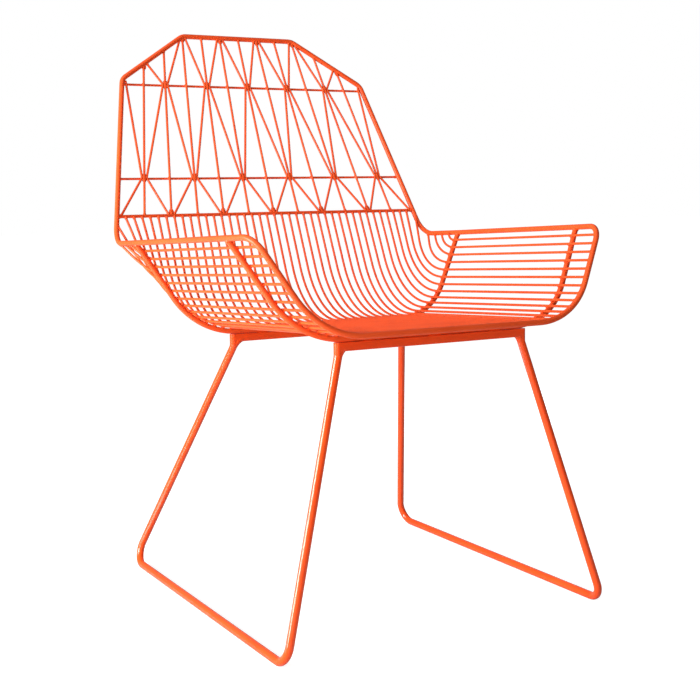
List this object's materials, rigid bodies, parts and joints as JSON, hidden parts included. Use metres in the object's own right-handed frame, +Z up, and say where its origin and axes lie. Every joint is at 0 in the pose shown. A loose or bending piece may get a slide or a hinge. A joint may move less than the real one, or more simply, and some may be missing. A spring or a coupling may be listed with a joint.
{
  "type": "wire lounge chair",
  "caption": "High-backed lounge chair of welded wire: a bucket seat with arms and a fanned, zigzag-braced back, on bent-rod sled legs.",
  "frame": {"origin": "on the floor, in the middle of the chair's width and depth", "axes": "+X to the right of someone who faces the chair's front, +Y to the chair's back, +Z up"},
  "size_m": [0.6062, 0.711, 0.9055],
  "materials": {
    "orange_paint": "glossy powder coat on steel rod and wire"
  },
  "bodies": {
    "root": {"back_rail": "orange_paint", "fan_wire_centre": "orange_paint", "fan_wire_left_1": "orange_paint", "fan_wire_left_2": "orange_paint", "fan_wire_left_3": "orange_paint", "fan_wire_left_4": "orange_paint", "fan_wire_left_5": "orange_paint", "fan_wire_right_1": "orange_paint", "fan_wire_right_2": "orange_paint", "fan_wire_right_3": "orange_paint", "fan_wire_right_4": "orange_paint", "fan_wire_right_5": "orange_paint", "front_cross_bar": "orange_paint", "front_hoop": "orange_paint", "left_sled": "orange_paint", "lower_cross_wire": "orange_paint", "rear_cross_bar": "orange_paint", "rear_hoop": "orange_paint", "right_sled": "orange_paint", "rim": "orange_paint", "seat_wire_1": "orange_paint", "seat_wire_10": "orange_paint", "seat_wire_11": "orange_paint", "seat_wire_12": "orange_paint", "seat_wire_13": "orange_paint", "seat_wire_14": "orange_paint", "seat_wire_15": "orange_paint", "seat_wire_16": "orange_paint", "seat_wire_17": "orange_paint", "seat_wire_18": "orange_paint", "seat_wire_19": "orange_paint", "seat_wire_2": "orange_paint", "seat_wire_20": "orange_paint", "seat_wire_21": "orange_paint", "seat_wire_22": "orange_paint", "seat_wire_23": "orange_paint", "seat_wire_24": "orange_paint", "seat_wire_3": "orange_paint", "seat_wire_4": "orange_paint", "seat_wire_5": "orange_paint", "seat_wire_6": "orange_paint", "seat_wire_7": "orange_paint", "seat_wire_8": "orange_paint", "seat_wire_9": "orange_paint", "seat_wire_centre": "orange_paint", "upper_cross_wire": "orange_paint", "zigzag_wire_centre": "orange_paint", "zigzag_wire_left_1": "orange_paint", "zigzag_wire_left_2": "orange_paint", "zigzag_wire_left_3": "orange_paint", "zigzag_wire_left_4": "orange_paint", "zigzag_wire_left_5": "orange_paint", "zigzag_wire_left_outer": "orange_paint", "zigzag_wire_right_1": "orange_paint", "zigzag_wire_right_2": "orange_paint", "zigzag_wire_right_3": "orange_paint", "zigzag_wire_right_4": "orange_paint", "zigzag_wire_right_outer": "orange_paint"}
  },
  "joints": []
}
